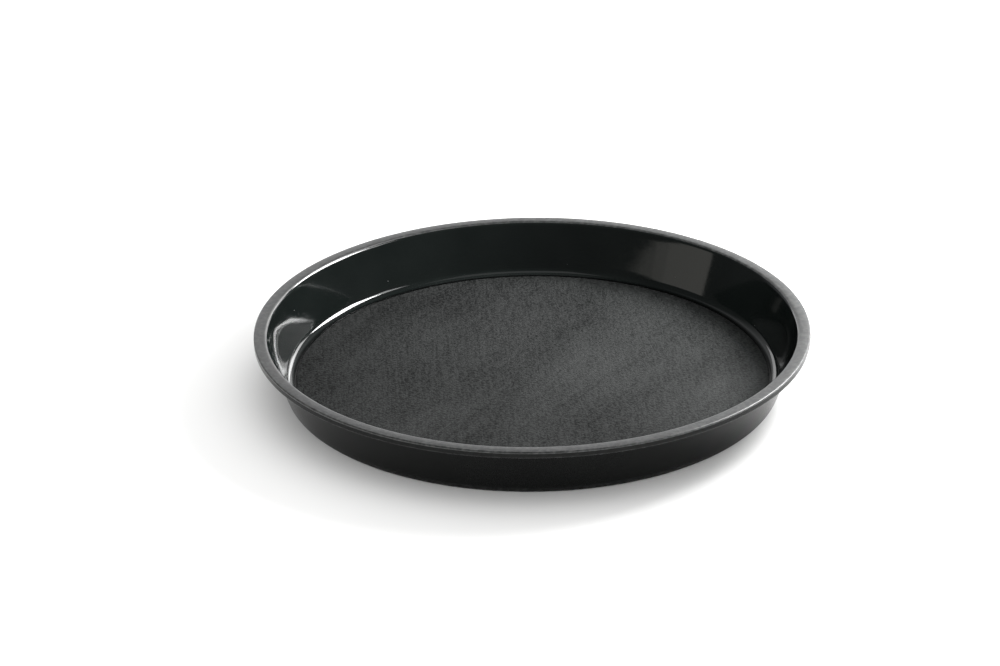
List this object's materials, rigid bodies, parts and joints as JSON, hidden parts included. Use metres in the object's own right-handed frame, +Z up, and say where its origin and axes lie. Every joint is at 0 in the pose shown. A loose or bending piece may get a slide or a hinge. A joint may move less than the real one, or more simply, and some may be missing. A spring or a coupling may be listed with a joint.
{
  "type": "serving tray",
  "caption": "Round deep-walled serving tray with a flat-topped rim, glossy flared wall and a matte non-slip rubber lining set into its floor.",
  "frame": {"origin": "centre of the tray's underside, in the plane of the surface that it stands on", "axes": "+Z up along the tray's axis, out of its open side; the tray is round, so +X and +Y are any two level directions"},
  "size_m": [0.356, 0.356, 0.037],
  "materials": {
    "tray_plastic": "glossy inside the wall, fine satin on the rim and the outside",
    "lining_rubber": "matte, fine pebbled grain",
    "bonding_film": "matte, hidden under the lining",
    "hoop_steel": "drawn steel wire, hidden inside the rim"
  },
  "bodies": {
    "root": {"tray_shell": "tray_plastic", "anti_slip_mat": "lining_rubber", "mat_adhesive": "bonding_film", "rim_hoop": "hoop_steel"}
  },
  "joints": []
}
